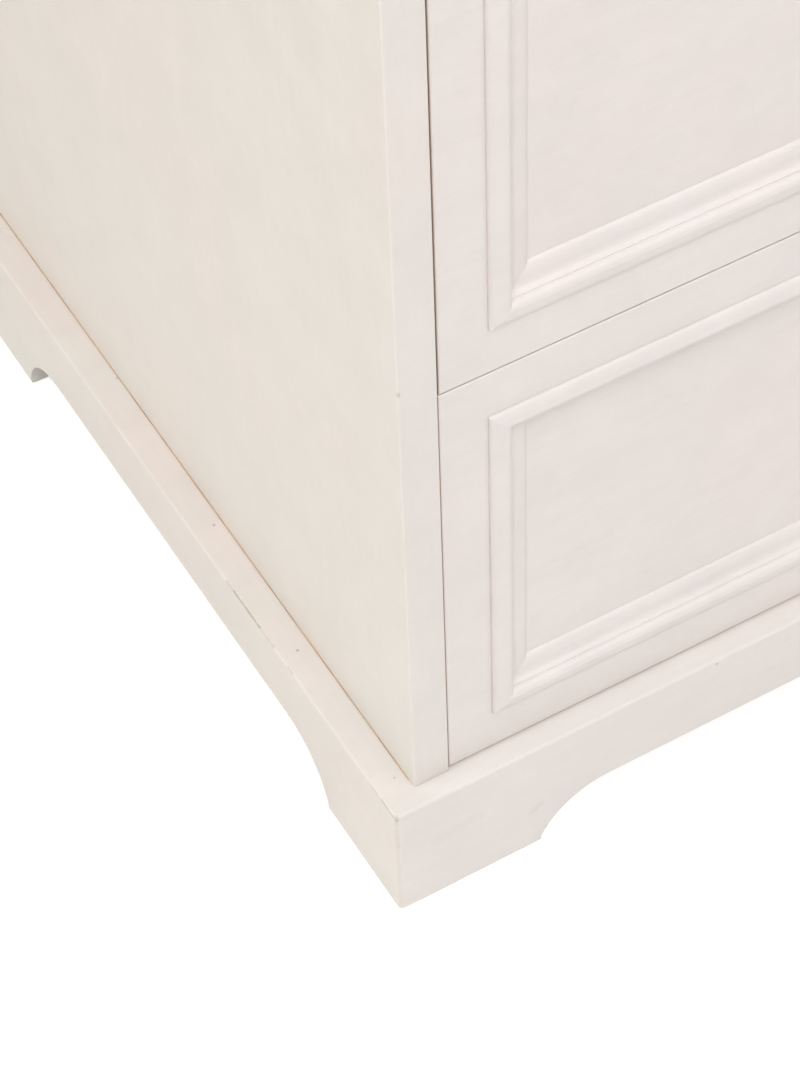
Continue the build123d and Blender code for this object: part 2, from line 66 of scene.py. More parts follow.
def ramp(tree, value, low, high, place, to_low=0.0, to_high=1.0, smooth=True):
    """Value mapped from low..high to to_low..to_high, clamped."""
    node = add(tree, "ShaderNodeMapRange", place)
    node.interpolation_type = "SMOOTHSTEP" if smooth else "LINEAR"
    node.inputs["From Min"].default_value = low
    node.inputs["From Max"].default_value = high
    node.inputs["To Min"].default_value = to_low
    node.inputs["To Max"].default_value = to_high
    tree.links.new(value, node.inputs["Value"])
    return node.outputs["Result"]


def maths(tree, operation, first, second, place, clamp=False):
    """A sum on two values, each a number or another node's output."""
    node = add(tree, "ShaderNodeMath", place, operation=operation, use_clamp=clamp)
    for socket, value in zip(node.inputs, (first, second)):
        if isinstance(value, bpy.types.NodeSocket):
            tree.links.new(value, socket)
        else:
            socket.default_value = value
    return node.outputs[0]


def mix_colour(tree, factor, first, second, place):
    """The first colour turning to the second as the factor rises from 0 to 1."""
    node = add(tree, "ShaderNodeMix", place, data_type="RGBA")
    for index, value in ((0, factor), (6, first), (7, second)):
        if isinstance(value, bpy.types.NodeSocket):
            tree.links.new(value, node.inputs[index])
        else:
            node.inputs[index].default_value = value if index == 0 else (*value, 1.0)
    return node.outputs[2]


def new_group(name, inputs, outputs):
    """A shader node group with named sockets: (name, kind, default) in, (name, kind) out."""
    tree = bpy.data.node_groups.new(name, "ShaderNodeTree")
    kinds = {"value": "NodeSocketFloat", "colour": "NodeSocketColor", "vector": "NodeSocketVector"}
    for socket, kind, default in inputs:
        made = tree.interface.new_socket(socket, in_out="INPUT", socket_type=kinds[kind])
        made.default_value = (*default, 1.0) if kind == "colour" else default
    for socket, kind in outputs:
        tree.interface.new_socket(socket, in_out="OUTPUT", socket_type=kinds[kind])
    start = add(tree, "NodeGroupInput", (-1400, 0))
    end = add(tree, "NodeGroupOutput", (1400, 0))
    return tree, start, end


def make_brushed_paint():
    """Brushed paint over wood: soft mottling, bristle lines, a trace of grain, nibs and dust."""
    tree, start, end = new_group(
        "brushed paint",
        [("Paint", "colour", PAINT), ("Warm", "colour", PAINT_WARM), ("Cool", "colour", PAINT_COOL),
         ("Grain", "vector", ALONG_X), ("Mottle", "value", 0.5), ("Strokes", "value", 0.5)],
        [("Color", "colour"), ("Roughness", "value"), ("Height", "value")])
    coords = add(tree, "ShaderNodeTexCoord", (-1400, 400)).outputs["Object"]
    cloud = mapped_noise(tree, coords, EVEN, (-900, 600), Scale=7.0, Detail=3.0, Roughness=0.6)
    patch = mapped_noise(tree, coords, EVEN, (-900, 300), Scale=23.0, Detail=4.0, Roughness=0.7)
    stroke = mapped_noise(tree, coords, start.outputs["Grain"], (-900, 0), Scale=4.0, Detail=5.0,
                          Roughness=0.65)
    grain = mapped_noise(tree, coords, start.outputs["Grain"], (-900, -300), Scale=11.0,
                         Detail=6.0, Roughness=0.75)
    peel = mapped_noise(tree, coords, EVEN, (-900, -600), Scale=420.0, Detail=2.0, Roughness=0.5)
    speck = add(tree, "ShaderNodeTexVoronoi", (-900, -900), Scale=85.0, feature="F1")
    tree.links.new(coords, speck.inputs["Vector"])
    rare = add(tree, "ShaderNodeSeparateColor", (-700, -1000))
    tree.links.new(speck.outputs["Color"], rare.inputs[0])
    nib = maths(tree, "MULTIPLY", ramp(tree, speck.outputs["Distance"], 0.07, 0.02, (-500, -900)),
                ramp(tree, rare.outputs[0], 0.93, 0.94, (-500, -1050)), (-300, -900))
    tint = ramp(tree, cloud, 0.38, 0.62, (-600, 600))
    colour = mix_colour(tree, tint, start.outputs["Cool"], start.outputs["Warm"], (-300, 600))
    amount = maths(tree, "MULTIPLY", start.outputs["Mottle"], 0.55, (-600, 450))
    colour = mix_colour(tree, amount, start.outputs["Paint"], colour, (-100, 500))
    shade = ramp(tree, patch, 0.3, 0.7, (-300, 300), 0.965, 1.02, smooth=False)
    streak = ramp(tree, stroke, 0.3, 0.7, (-300, 100), 0.985, 1.012, smooth=False)
    value = maths(tree, "MULTIPLY", shade, streak, (-100, 200))
    scaled = add(tree, "ShaderNodeVectorMath", (150, 400), operation="SCALE")
    tree.links.new(colour, scaled.inputs[0])
    tree.links.new(value, scaled.inputs["Scale"])
    colour = mix_colour(tree, maths(tree, "MULTIPLY", nib, 0.25, (150, 200)), scaled.outputs[0],
                        (0.62, 0.52, 0.44), (350, 400))
    tree.links.new(colour, end.inputs["Color"])
    rough = ramp(tree, patch, 0.25, 0.75, (150, 0), 0.36, 0.50, smooth=False)
    rough = maths(tree, "ADD", rough, ramp(tree, stroke, 0.3, 0.7, (150, -150), -0.03, 0.04),
                  (350, -50))
    tree.links.new(rough, end.inputs["Roughness"])
    lines = maths(tree, "MULTIPLY", stroke, start.outputs["Strokes"], (150, -300))
    fine = maths(tree, "MULTIPLY", grain, 0.22, (150, -450))
    skin = maths(tree, "MULTIPLY", peel, 0.10, (150, -600))
    height = maths(tree, "ADD", maths(tree, "ADD", lines, fine, (350, -350)), skin, (550, -400))
    height = maths(tree, "ADD", height, maths(tree, "MULTIPLY", nib, 1.3, (350, -700)),
                   (750, -500))
    tree.links.new(height, end.inputs["Height"])
    return tree


def make_arris_wear():
    """Where paint wears thin: the arrises, broken up by noise. It finds them with a soft bevel."""
    tree, start, end = new_group(
        "arris wear",
        [("Radius", "value", 0.0018), ("Amount", "value", 0.4)],
        [("Mask", "value")])
    coords = add(tree, "ShaderNodeTexCoord", (-1400, 300)).outputs["Object"]
    geometry = add(tree, "ShaderNodeNewGeometry", (-1400, -100))
    bevel = add(tree, "ShaderNodeBevel", (-1100, 0), samples=4)
    tree.links.new(start.outputs["Radius"], bevel.inputs["Radius"])
    turn = add(tree, "ShaderNodeVectorMath", (-900, 0), operation="DOT_PRODUCT")
    tree.links.new(bevel.outputs["Normal"], turn.inputs[0])
    tree.links.new(geometry.outputs["Normal"], turn.inputs[1])
    edge = ramp(tree, turn.outputs["Value"], 0.995, 0.86, (-700, 0))
    broken = mapped_noise(tree, coords, EVEN, (-900, 400), Scale=13.0, Detail=9.0,
                          Roughness=0.72)
    level = maths(tree, "SUBTRACT", 0.78, maths(tree, "MULTIPLY", start.outputs["Amount"], 0.42,
                                                (-900, 650)), (-700, 650))
    above = maths(tree, "SUBTRACT", broken, level, (-500, 450))
    mask = maths(tree, "MULTIPLY", edge, ramp(tree, above, 0.0, 0.12, (-300, 400)), (-100, 100))
    tree.links.new(mask, end.inputs["Mask"])
    return tree


def make_corner_dust_and_shade():
    """Dust, old polish and painted shade in gaps and inner corners, found by occlusion; the Deep
    shade output marks only the narrow gaps.
    """
    tree, start, end = new_group("corner dust and shade", [("Reach", "value", 0.005)],
                                 [("Mask", "value"), ("Deep shade", "value")])
    coords = add(tree, "ShaderNodeTexCoord", (-1400, 300)).outputs["Object"]
    # Occlusion within Reach: the more shut in a point is, the more dust and painted shade it gets.
    shut = add(tree, "ShaderNodeAmbientOcclusion", (-1000, 0), samples=4)
    tree.links.new(start.outputs["Reach"], shut.inputs["Distance"])
    uneven = mapped_noise(tree, coords, EVEN, (-1000, 400), Scale=30.0, Detail=4.0)
    dark = ramp(tree, shut.outputs["AO"], 0.62, 0.12, (-700, 0))
    mask = maths(tree, "MULTIPLY", dark, ramp(tree, uneven, 0.3, 0.7, (-700, 400), 0.55, 1.0),
                 (-400, 100))
    tree.links.new(mask, end.inputs["Mask"])
    tree.links.new(ramp(tree, shut.outputs["AO"], 0.42, 0.10, (-400, -100)), end.inputs["Deep shade"])
    return tree


def make_streak_mark():
    """A ragged mark along a line from Start over Run, a dot if Run is nothing."""
    tree, start, end = new_group(
        "streak mark",
        [("Start", "vector", (0, 0, 0)), ("Run", "vector", (0, 0, 0)), ("Width", "value", 0.001),
         ("Ragged", "value", 0.5)],
        [("Mask", "value")])
    coords = add(tree, "ShaderNodeTexCoord", (-1400, 300)).outputs["Object"]

    def vector(operation, first, second, place, result=0):
        node = add(tree, "ShaderNodeVectorMath", place, operation=operation)
        tree.links.new(first, node.inputs[0])
        tree.links.new(second, node.inputs[3 if operation == "SCALE" else 1])
        return node.outputs[result]

    run = start.outputs["Run"]
    away = vector("SUBTRACT", coords, start.outputs["Start"], (-1100, 300))
    reached = vector("DOT_PRODUCT", away, run, (-900, 300), 1)
    square = maths(tree, "ADD", vector("DOT_PRODUCT", run, run, (-900, 100), 1), 1e-12, (-700, 100))
    share = maths(tree, "DIVIDE", reached, square, (-500, 200), True)
    nearest = vector("SCALE", run, share, (-300, 200))
    distance = vector("DISTANCE", away, nearest, (-100, 300), 1)
    ratio = maths(tree, "DIVIDE", distance, start.outputs["Width"], (100, 300))
    noise = mapped_noise(tree, coords, EVEN, (-100, -100), Scale=260.0, Detail=5.0,
                         Roughness=0.7)
    shake = maths(tree, "MULTIPLY", maths(tree, "SUBTRACT", noise, 0.5, (100, -100)),
                  start.outputs["Ragged"], (300, -100))
    spread = maths(tree, "ADD", ratio, maths(tree, "MULTIPLY", shake, 3.0, (500, -100)), (500, 200))
    tree.links.new(ramp(tree, spread, 1.0, 0.3, (700, 200)), end.inputs["Mask"])
    return tree


BRUSHED_PAINT = make_brushed_paint()
ARRIS_WEAR = make_arris_wear()
CORNER_DUST_AND_SHADE = make_corner_dust_and_shade()
STREAK_MARK = make_streak_mark()


def use_group(tree, group, place, **values):
    """A node group at a place in the tree, its sockets set by name."""
    node = add(tree, "ShaderNodeGroup", place, node_tree=group)
    for name, value in values.items():
        socket = node.inputs[name]
        socket.default_value = (*value, 1.0) if socket.type == "RGBA" else value
    return node


def new_material(name, **settings):
    """A material with its Principled shader ready, and settings made on its own sockets."""
    material = bpy.data.materials.new(name)
    material.use_nodes = True
    tree = material.node_tree
    shader = tree.nodes["Principled BSDF"]
    for socket, value in settings.items():
        shader.inputs[socket.replace("_", " ")].default_value = value
    return material, tree, shader


def bump(tree, height, strength, distance, shader):
    """Relief that a height gives to a shader."""
    node = add(tree, "ShaderNodeBump", (-200, -400), Strength=strength, Distance=distance)
    tree.links.new(height, node.inputs["Height"])
    tree.links.new(node.outputs["Normal"], shader.inputs["Normal"])


def painted(name, grain, tones=TONES, wear=0.35, mottle=0.5, strokes=0.5, dust_and_shade_amount=0.35, gap_shade=0.75,
            marks=()):
    """Satin paint on a piece whose grain lies along one axis, with dust and painted shade darkening
    its gaps and inner corners, and warm brown painted shade deep in its narrow gaps.

    Each mark is (start, end, half width, raggedness, colour, amount), in metres on the piece.
    """
    material, tree, shader = new_material(name, Coat_Weight=0.0, IOR=1.46)
    paint = use_group(tree, BRUSHED_PAINT, (-1200, 200), Paint=tones[0], Warm=tones[1],
                      Cool=tones[2], Grain=grain, Mottle=mottle, Strokes=strokes)
    worn = use_group(tree, ARRIS_WEAR, (-1200, -200), Amount=wear)
    dust_and_shade_node = use_group(tree, CORNER_DUST_AND_SHADE, (-1200, -400))
    # Painted shade and dust: grime colour mixed in by the occlusion mask, then warm brown painted
    # shade in the narrow gaps.
    colour = mix_colour(tree, maths(tree, "MULTIPLY", dust_and_shade_node.outputs[0], dust_and_shade_amount, (-1000, -400)),
                        paint.outputs["Color"], GRIME_AND_SHADE, (-800, 200))
    colour = mix_colour(tree, maths(tree, "MULTIPLY", dust_and_shade_node.outputs["Deep shade"], gap_shade, (-1000, -550)),
                        colour, DEEP_GAP_SHADE, (-700, 200))
    colour = mix_colour(tree, maths(tree, "MULTIPLY", worn.outputs[0], WEAR_SHOWN, (-1000, -200)),
                        colour, UNDERCOAT, (-600, 200))
    for index, (first, last, half_width, ragged, stain, amount) in enumerate(marks):
        place = (-1200, 400 + 250 * index)
        run = tuple(b - a for a, b in zip(first, last))
        mark = use_group(tree, STREAK_MARK, place, Start=first, Run=run, Width=half_width,
                         Ragged=ragged)
        share = maths(tree, "MULTIPLY", mark.outputs[0], amount, (-1000, place[1]))
        colour = mix_colour(tree, share, colour, stain, (-800, place[1]))
    tree.links.new(colour, shader.inputs["Base Color"])
    rougher = maths(tree, "MULTIPLY", worn.outputs[0], WEAR_ROUGHER, (-600, -100))
    rough = maths(tree, "ADD", paint.outputs["Roughness"], rougher, (-400, 0), True)
    tree.links.new(rough, shader.inputs["Roughness"])
    bump(tree, paint.outputs["Height"], BRUSH_RELIEF, BRUSH_DEPTH, shader)
    return material


def dress(material, *names):
    """Gives CAD nodes their material."""
    for name in names:
        nodes[name].data.materials.clear()
        nodes[name].data.materials.append(material)


CORNER_X = -0.5281
CORNER_Y = -0.2586
ARRIS_X = -0.5284
ARRIS_Z = 0.0894
CORNER_MARKS = [
    ((CORNER_X, CORNER_Y, 0.0890), (CORNER_X, CORNER_Y, 0.0870), 0.0024, 0.5, GRIME_AND_SHADE, 0.36),
    ((CORNER_X, CORNER_Y, 0.0870), (CORNER_X, CORNER_Y, 0.0620), 0.0018, 0.6, GRIME_AND_SHADE, 0.15),
    ((CORNER_X, CORNER_Y, 0.0620), (CORNER_X, CORNER_Y, 0.0040), 0.0016, 0.7, UNDERCOAT, 0.14),
    ((-0.5293, -0.2290, ARRIS_Z), (-0.5290, -0.2570, 0.0890), 0.0010, 0.5, GRIME_AND_SHADE, 0.42),
]
LEDGE_MARKS = [
    ((ARRIS_X, -0.0655, ARRIS_Z), (ARRIS_X, -0.1215, ARRIS_Z), 0.0009, 0.6, BARE_BROWN, 0.26),
    ((ARRIS_X, -0.0740, ARRIS_Z), (ARRIS_X, -0.1050, ARRIS_Z), 0.0008, 0.5, BARE_BROWN, 0.36),
    ((ARRIS_X, -0.1380, ARRIS_Z), (ARRIS_X, -0.1436, ARRIS_Z), 0.0008, 0.6, BARE_BROWN, 0.22),
    ((-0.5151, -0.0250, 0.0900), (-0.5151, -0.0250, 0.0900), 0.0013, 0.3, GRIME_AND_SHADE, 0.60),
    ((-0.5182, -0.1308, 0.0900), (-0.5182, -0.1308, 0.0900), 0.0013, 0.3, GRIME_AND_SHADE, 0.60),
    ((-0.5156, -0.2352, 0.0900), (-0.5156, -0.2352, 0.0900), 0.0012, 0.3, GRIME_AND_SHADE, 0.40),
    ((-0.5106, 0.1076, 0.0900), (-0.5106, 0.1076, 0.0900), 0.0013, 0.3, GRIME_AND_SHADE, 0.50),
]
BOARD_MARKS = [
    ((-0.5039, -0.2595, 0.0506), (-0.4775, -0.2595, 0.0549), 0.0062, 0.35, YELLOWED, 0.12),
    ((-0.4424, -0.2595, 0.0327), (-0.4372, -0.2595, 0.0366), 0.0034, 0.4, YELLOWED, 0.18),
    ((-0.5155, -0.2592, 0.0008), (-0.5085, -0.2592, 0.0008), 0.0012, 0.8, BARE_BROWN, 0.75),
    ((-0.5065, -0.2592, 0.0010), (-0.4993, -0.2592, 0.0008), 0.0009, 0.9, BARE_BROWN, 0.45),
    ((-0.4331, -0.2592, 0.0075), (-0.4329, -0.2592, 0.0125), 0.0009, 0.8, BARE_BROWN, 0.60),
    ((-0.3212, -0.2592, 0.0868), (-0.3212, -0.2592, 0.0868), 0.0013, 0.3, GRIME_AND_SHADE, 0.60),
]
PLINTH_FRONT = painted("plinth front paint", ALONG_X, wear=0.25, mottle=0.45, dust_and_shade_amount=0.15, gap_shade=0.2,
                       marks=CORNER_MARKS + BOARD_MARKS)
PLINTH_SIDE = painted("plinth side paint", ALONG_Y, wear=0.25, mottle=0.9,
                      marks=CORNER_MARKS + LEDGE_MARKS)
dress(PLINTH_FRONT, "plinth_front")
dress(PLINTH_SIDE, "plinth_left", "plinth_right")

# ---- Plinth back board, cleats and glue blocks ---------------------------------------------------
# Sawn softwood that nobody sees: a back board between the side boards, cleats screwed along the
# top of the ring to carry the carcass, and a triangular block glued and rubbed into each corner.
PINE_LIGHT = (0.62, 0.42, 0.22)
PINE_DARK = (0.40, 0.22, 0.10)


def make_timber():
    """Bare timber: growth rings that lie along one axis, fibres, pores and darker end grain."""
    tree, start, end = new_group(
        "bare timber",
        [("Light", "colour", PINE_LIGHT), ("Dark", "colour", PINE_DARK),
         ("Grain", "vector", (1.0, 9.0, 9.0)), ("Rings", "value", 1.0),
         ("End", "vector", (1, 0, 0))],
        [("Color", "colour"), ("Roughness", "value"), ("Height", "value")])
    coords = add(tree, "ShaderNodeTexCoord", (-1400, 300)).outputs["Object"]
    laid = add(tree, "ShaderNodeVectorMath", (-1200, 300), operation="MULTIPLY")
    tree.links.new(coords, laid.inputs[0])
    tree.links.new(start.outputs["Grain"], laid.inputs[1])
    warp = add(tree, "ShaderNodeTexNoise", (-1000, 500), Scale=1.6, Detail=2.0, Roughness=0.5)
    tree.links.new(laid.outputs[0], warp.inputs["Vector"])
    figure = maths(tree, "MULTIPLY", warp.outputs["Fac"], 26.0, (-800, 500))
    rings = maths(tree, "SINE", figure, 0.0, (-600, 500))
    rings = ramp(tree, rings, -0.6, 1.0, (-400, 500))
    rings = maths(tree, "MULTIPLY", rings, start.outputs["Rings"], (-200, 500))
    fibre = add(tree, "ShaderNodeTexNoise", (-1000, 100), Scale=38.0, Detail=6.0, Roughness=0.7)
    tree.links.new(laid.outputs[0], fibre.inputs["Vector"])
    pore = ramp(tree, fibre.outputs["Fac"], 0.62, 0.72, (-700, 100))
    geometry = add(tree, "ShaderNodeNewGeometry", (-1400, -300))
    facing = add(tree, "ShaderNodeVectorMath", (-1200, -300), operation="DOT_PRODUCT")
    tree.links.new(geometry.outputs["Normal"], facing.inputs[0])
    tree.links.new(start.outputs["End"], facing.inputs[1])
    across = ramp(tree, maths(tree, "ABSOLUTE", facing.outputs["Value"], 0.0, (-1000, -300)),
                  0.75, 0.95, (-800, -300), 0.0, 0.55)
    dark = maths(tree, "ADD", maths(tree, "MULTIPLY", rings, 0.6, (0, 500)),
                 maths(tree, "MULTIPLY", fibre.outputs["Fac"], 0.5, (-500, 0)), (100, 300))
    dark = maths(tree, "ADD", dark, maths(tree, "MULTIPLY", pore, 0.25, (-300, 0)), (250, 300))
    dark = maths(tree, "ADD", maths(tree, "SUBTRACT", dark, 0.2, (400, 300)), across, (550, 300),
                 True)
    colour = mix_colour(tree, dark, start.outputs["Light"], start.outputs["Dark"], (750, 300))
    tree.links.new(colour, end.inputs["Color"])
    rough = ramp(tree, fibre.outputs["Fac"], 0.3, 0.7, (750, 0), 0.45, 0.68, smooth=False)
    tree.links.new(rough, end.inputs["Roughness"])
    height = maths(tree, "SUBTRACT", maths(tree, "MULTIPLY", rings, 0.3, (750, -200)),
                   maths(tree, "MULTIPLY", pore, 0.8, (750, -350)), (950, -250))
    tree.links.new(height, end.inputs["Height"])
    return tree


TIMBER = make_timber()


def bare_wood(name, light, dark, grain, end_axis, rings=1.0, dust_and_shade_amount=0.5):
    """Timber whose grain lies along one axis and whose end grain faces along end_axis."""
    material, tree, shader = new_material(name, IOR=1.45)
    wood = use_group(tree, TIMBER, (-1000, 200), Light=light, Dark=dark, Grain=grain,
                     End=end_axis, Rings=rings)
    # Painted shade and dust: grime colour mixed in where occlusion finds corners and gaps.
    dust_and_shade_node = use_group(tree, CORNER_DUST_AND_SHADE, (-1000, -200))
    amount = maths(tree, "MULTIPLY", dust_and_shade_node.outputs[0], dust_and_shade_amount, (-800, -200))
    colour = mix_colour(tree, amount, wood.outputs["Color"], GRIME_AND_SHADE, (-500, 200))
    tree.links.new(colour, shader.inputs["Base Color"])
    tree.links.new(wood.outputs["Roughness"], shader.inputs["Roughness"])
    bump(tree, wood.outputs["Height"], 0.4, 0.0003, shader)
    return material


WOOD_ALONG_X = (1.2, 11.0, 11.0)
WOOD_ALONG_Y = (11.0, 1.2, 11.0)
dress(bare_wood("sawn pine", PINE_LIGHT, PINE_DARK, WOOD_ALONG_X, (1, 0, 0)), "plinth_back",
      "plinth_blocks")

# ---- Side panels ---------------------------------------------------------------------------------
# One wide veneered board to a side, rebated for the back and housed for the decks, with the
# front arrises rounded over. Sprayed inside and out, so the coat is even, with one small rub.
SIDE_MARKS = [((-0.5089, -0.2465, 0.4075), (-0.5089, -0.2465, 0.4090), 0.0014, 0.5, GRIME_AND_SHADE, 0.35)]
SIDE_PAINT = painted("side panel paint", ALONG_Z, wear=0.15, mottle=0.8, strokes=0.35,
                     marks=SIDE_MARKS)
dress(SIDE_PAINT, "side_left", "side_right")

# ---- Decks, divider, shelf and back --------------------------------------------------------------
# Flat boards housed in the sides, with a thinner coat than outside. The back is a sheet of
# plywood in the rebates, painted on the inside only, so its outer face and edges stay brown.
INNER = (0.70, 0.655, 0.60)
INNER_TONES = (INNER, (0.71, 0.645, 0.585), (0.68, 0.655, 0.60))
INNER_PAINT = painted("inner board paint", ALONG_X, INNER_TONES, wear=0.45, mottle=0.8,
                      strokes=0.8, dust_and_shade_amount=0.5)
dress(INNER_PAINT, "bottom_deck", "middle_deck", "top_panel", "shelf", "drawer_divider_rail")
PLY_LIGHT = (0.50, 0.34, 0.19)
PLY_DARK = (0.40, 0.26, 0.14)
BACK_FACE = 0.2900


def make_back_material():
    """Paint on the inner face and raw plywood on the outer face and the edges."""
    material, tree, shader = new_material("back plywood", IOR=1.45)
    paint = use_group(tree, BRUSHED_PAINT, (-1200, 400), Paint=INNER, Grain=ALONG_Z)
    wood = use_group(tree, TIMBER, (-1200, 0), Light=PLY_LIGHT, Dark=PLY_DARK,
                     Grain=(3.0, 3.0, 0.5), End=(1, 0, 0), Rings=1.0)
    coords = add(tree, "ShaderNodeTexCoord", (-1400, -300)).outputs["Object"]
    split = add(tree, "ShaderNodeSeparateXYZ", (-1200, -300))
    tree.links.new(coords, split.inputs[0])
    outside = ramp(tree, split.outputs["Y"], BACK_FACE, BACK_FACE + 0.001, (-1000, -300))
    colour = mix_colour(tree, outside, paint.outputs["Color"], wood.outputs["Color"], (-600, 200))
    tree.links.new(colour, shader.inputs["Base Color"])
    rise = maths(tree, "SUBTRACT", wood.outputs["Roughness"], paint.outputs["Roughness"],
                 (-800, 0))
    rough = maths(tree, "ADD", paint.outputs["Roughness"],
                  maths(tree, "MULTIPLY", rise, outside, (-600, 0)), (-400, 0))
    tree.links.new(rough, shader.inputs["Roughness"])
    bump(tree, wood.outputs["Height"], 0.3, 0.0002, shader)
    return material


dress(make_back_material(), "back_panel")

# ---- Drawer and door fronts ----------------------------------------------------------------------
# Stiles and rails round a panel held loose in their grooves, with a mitred bolection moulding
# glued over the joint. Sprayed after assembly, so the paint bridges the joints and softens them.
FRONT_TONES = ((0.790, 0.733, 0.706), (0.800, 0.726, 0.696), (0.776, 0.732, 0.702))
FRONT_PAINT = painted("front paint", ALONG_X, FRONT_TONES, wear=0.12, mottle=0.8, strokes=0.3,
                      dust_and_shade_amount=0.2)
DOOR_PAINT = painted("door paint", ALONG_Z, FRONT_TONES, wear=0.12, mottle=0.8, strokes=0.3,
                     dust_and_shade_amount=0.2)
MOULDING_PAINT = painted("moulding paint", ALONG_X, FRONT_TONES, wear=0.08, mottle=0.6,
                         strokes=0.2, dust_and_shade_amount=0.05, gap_shade=0.3)
for front, paint in (("drawer_lower", FRONT_PAINT), ("drawer_upper", FRONT_PAINT),
                     ("door_left", DOOR_PAINT), ("door_right", DOOR_PAINT)):
    dress(paint, front + "_frame", front + "_panel")
    dress(MOULDING_PAINT, front + "_moulding")

# ---- Frieze, cornice and cap board ---------------------------------------------------------------
# A frieze rail closes the front above the doors, a cornice mitred at the front corners runs
# round under the cap, and the cap board is screwed down from inside. All brushed like the plinth.
TOP_PAINT = painted("cap and frieze paint", ALONG_X, wear=0.3, mottle=0.6)
RETURN_PAINT = painted("cornice return paint", ALONG_Y, wear=0.3, mottle=0.6)
dress(TOP_PAINT, "frieze_rail", "cap_board", "cornice_front")
dress(RETURN_PAINT, "cornice_left", "cornice_right")

# ---- Drawer boxes --------------------------------------------------------------------------------
# Clear-sealed birch, dovetailed front and back, with a thin plywood bottom in grooves. The
# end grain of the tails and pins is darker than the faces.
BIRCH_LIGHT = (0.66, 0.48, 0.29)
BIRCH_DARK = (0.47, 0.29, 0.15)
BIRCH_X = bare_wood("birch across", BIRCH_LIGHT, BIRCH_DARK, WOOD_ALONG_X, (1, 0, 0), 0.6)
BIRCH_Y = bare_wood("birch lengthwise", BIRCH_LIGHT, BIRCH_DARK, WOOD_ALONG_Y, (0, 1, 0), 0.6)
BIRCH_PLY = bare_wood("birch plywood", (0.62, 0.44, 0.26), (0.50, 0.33, 0.18), (0.8, 5.0, 5.0),
                      (1, 0, 0), 0.8)
for drawer in ("drawer_lower", "drawer_upper"):
    dress(BIRCH_X, drawer + "_box_front", drawer + "_box_back")
    dress(BIRCH_Y, drawer + "_box_sides")
    dress(BIRCH_PLY, drawer + "_box_bottom")

# ---- Slides, hinges, screws, shelf pins and hanging rail -----------------------------------------
# Bright zinc-plated slides, satin nickel butt hinges with loose pins, and a drawn steel rail in
# cast sockets. Handling and the plating bath leave fine lines and a faint cloud on all of them.
NICKEL = (0.52, 0.48, 0.43)
ZINC = (0.60, 0.62, 0.64)
STEEL = (0.62, 0.62, 0.61)
TARNISH = (0.22, 0.18, 0.13)


def make_handled_metal():
    """Plated metal: fine lines along one axis, a clouded finish and tarnish in the corners."""
    tree, start, end = new_group(
        "handled metal",
        [("Metal", "colour", NICKEL), ("Tarnish", "colour", TARNISH),
         ("Lines", "vector", (1, 1, 1)), ("Rough", "value", 0.28)],
        [("Color", "colour"), ("Roughness", "value"), ("Height", "value")])
    coords = add(tree, "ShaderNodeTexCoord", (-1400, 300)).outputs["Object"]
    lines = mapped_noise(tree, coords, start.outputs["Lines"], (-900, 300), Scale=220.0,
                         Detail=4.0, Roughness=0.7)
    cloud = mapped_noise(tree, coords, EVEN, (-900, 0), Scale=60.0, Detail=5.0,
                         Roughness=0.65)
    spots = ramp(tree, cloud, 0.58, 0.75, (-600, 0), 0.0, 0.55)
    colour = mix_colour(tree, spots, start.outputs["Metal"], start.outputs["Tarnish"], (0, 200))
    tree.links.new(colour, end.inputs["Color"])
    rough = maths(tree, "ADD", start.outputs["Rough"],
                  ramp(tree, lines, 0.3, 0.7, (-600, 300), -0.05, 0.10, smooth=False), (0, 0))
    rough = maths(tree, "ADD", rough, maths(tree, "MULTIPLY", spots, 0.3, (0, -150)), (200, -50))
    tree.links.new(rough, end.inputs["Roughness"])
    tree.links.new(lines, end.inputs["Height"])
    return tree


HANDLED_METAL = make_handled_metal()


def metal(name, colour, lines, rough):
    """Plated metal whose polishing lines are stretched by a scale vector."""
    material, tree, shader = new_material(name, Metallic=1.0)
    look = use_group(tree, HANDLED_METAL, (-900, 200), Metal=colour, Lines=lines, Rough=rough)
    dust_and_shade_node = use_group(tree, CORNER_DUST_AND_SHADE, (-900, -200), Reach=0.003)
    colour = mix_colour(tree, maths(tree, "MULTIPLY", dust_and_shade_node.outputs[0], 0.6, (-700, -200)),
                        look.outputs["Color"], TARNISH, (-400, 200))
    tree.links.new(colour, shader.inputs["Base Color"])
    tree.links.new(look.outputs["Roughness"], shader.inputs["Roughness"])
    bump(tree, look.outputs["Height"], 0.15, 0.0001, shader)
    return material


ZINC_PLATE = metal("zinc plate", ZINC, (4.0, 0.3, 4.0), 0.30)
NICKEL_PLATE = metal("satin nickel", NICKEL, (3.0, 3.0, 0.6), 0.30)
DRAWN_STEEL = metal("drawn steel", STEEL, (0.1, 3.0, 3.0), 0.24)
dress(ZINC_PLATE, "slide_outer_channels")
dress(NICKEL_PLATE, "hinge_leaves_carcass", "hinge_pins", "hinge_screws_carcass")
dress(DRAWN_STEEL, "hanging_rail", "rail_sockets", "shelf_pins")
for drawer in ("drawer_lower", "drawer_upper"):
    dress(ZINC_PLATE, drawer + "_slide_inner", drawer + "_slide_middle")
    dress(DRAWN_STEEL, drawer + "_knob_screws")
    dress(NICKEL_PLATE, drawer + "_knobs")
for door in ("door_left", "door_right"):
    dress(NICKEL_PLATE, door + "_hinge_leaves", door + "_knob")
    dress(DRAWN_STEEL, door + "_screws")

